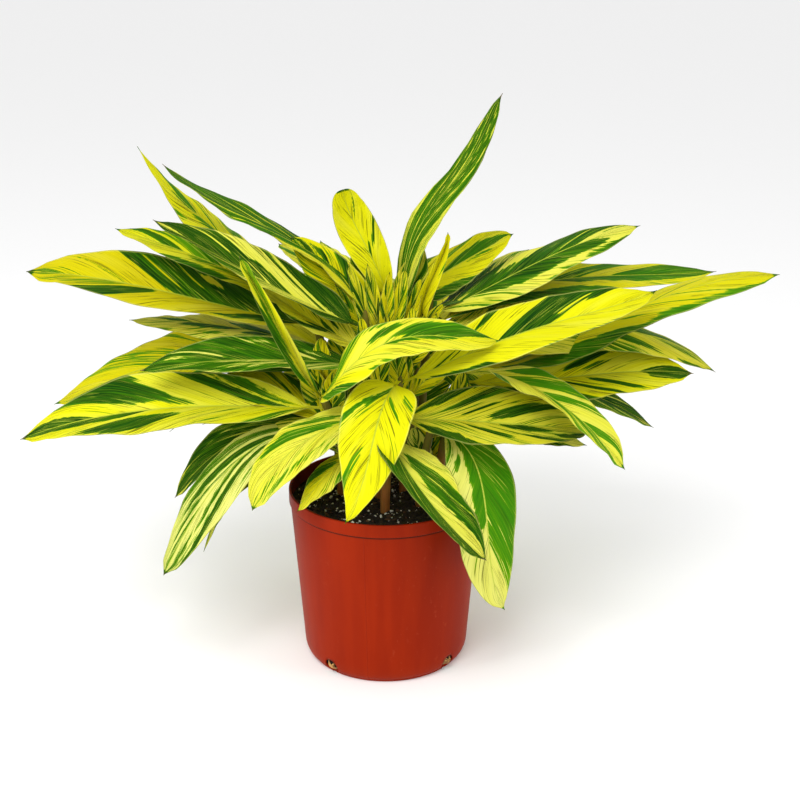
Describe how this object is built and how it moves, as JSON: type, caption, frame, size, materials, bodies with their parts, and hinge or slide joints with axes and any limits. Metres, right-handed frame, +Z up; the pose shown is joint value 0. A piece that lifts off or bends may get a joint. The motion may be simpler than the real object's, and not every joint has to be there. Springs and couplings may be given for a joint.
{
  "type": "potted variegated ginger plant",
  "caption": "Leafy clump of arching green and yellow striped lance-shaped leaves on upright canes, in a round tapered nursery pot filled with dark soil.",
  "frame": {"origin": "centre of the pot's underside, where it rests", "axes": "+Z up along the pot's axis, -Y towards the viewer of the picture, +X to the viewer's right"},
  "size_m": [0.9622, 0.7112, 0.7413],
  "materials": {
    "pot_plastic": "satin",
    "potting_soil": "matte",
    "variegated_leaf": "satin"
  },
  "bodies": {
    "root": {"pot": "pot_plastic", "soil": "potting_soil", "cane_front_left": "variegated_leaf", "cane_left": "variegated_leaf", "cane_centre": "variegated_leaf", "cane_tall": "variegated_leaf", "cane_front": "variegated_leaf", "cane_front_right": "variegated_leaf", "cane_right": "variegated_leaf", "cane_right_tall": "variegated_leaf", "cane_rear_left": "variegated_leaf", "cane_rear_right": "variegated_leaf"}
  },
  "joints": []
}
